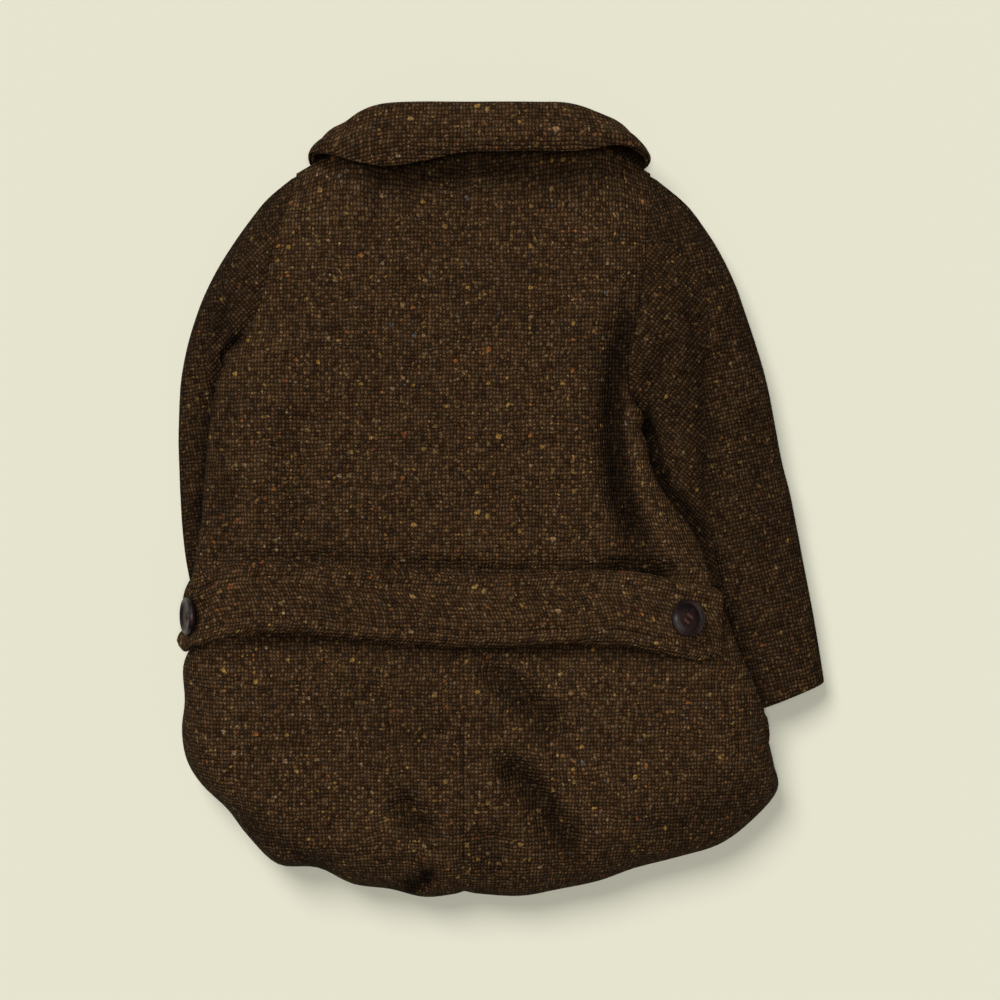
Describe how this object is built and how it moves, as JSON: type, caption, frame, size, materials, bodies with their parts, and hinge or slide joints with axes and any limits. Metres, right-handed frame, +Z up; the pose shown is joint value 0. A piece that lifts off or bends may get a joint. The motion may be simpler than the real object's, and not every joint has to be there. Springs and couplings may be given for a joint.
{
  "type": "swing coat",
  "caption": "Child's swing coat in chunky flecked tweed, laid back up with its lower edge folded under: turn-down collar, two-piece sleeves and a buttoned half belt.",
  "frame": {"origin": "middle of the coat's outline, on the surface that it lies on", "axes": "+X is the coat's right-hand side as seen from above, which is the wearer's right; +Y runs from the folded lower edge to the collar; +Z points up from the surface, towards the coat's back"},
  "size_m": [0.4014, 0.4894, 0.0738],
  "materials": {
    "tweed_back": "dark brown plain-weave tweed with coloured flecks",
    "tweed_front": "dark brown plain-weave tweed with coloured flecks",
    "tweed_sleeve": "dark brown plain-weave tweed with coloured flecks",
    "tweed_collar": "dark brown plain-weave tweed with coloured flecks",
    "tweed_belt": "dark brown plain-weave tweed, two layers, topstitched",
    "horn_button": "glossy dark horn look, dished"
  },
  "bodies": {
    "root": {"back_left": "tweed_back", "back_right": "tweed_back", "front_left": "tweed_front", "front_right": "tweed_front", "sleeve_left_top": "tweed_sleeve", "sleeve_left_under": "tweed_sleeve", "sleeve_right_top": "tweed_sleeve", "sleeve_right_under": "tweed_sleeve", "upper_collar": "tweed_collar", "under_collar": "tweed_collar", "half_belt": "tweed_belt", "belt_button_left": "horn_button", "belt_button_right": "horn_button"}
  },
  "joints": []
}
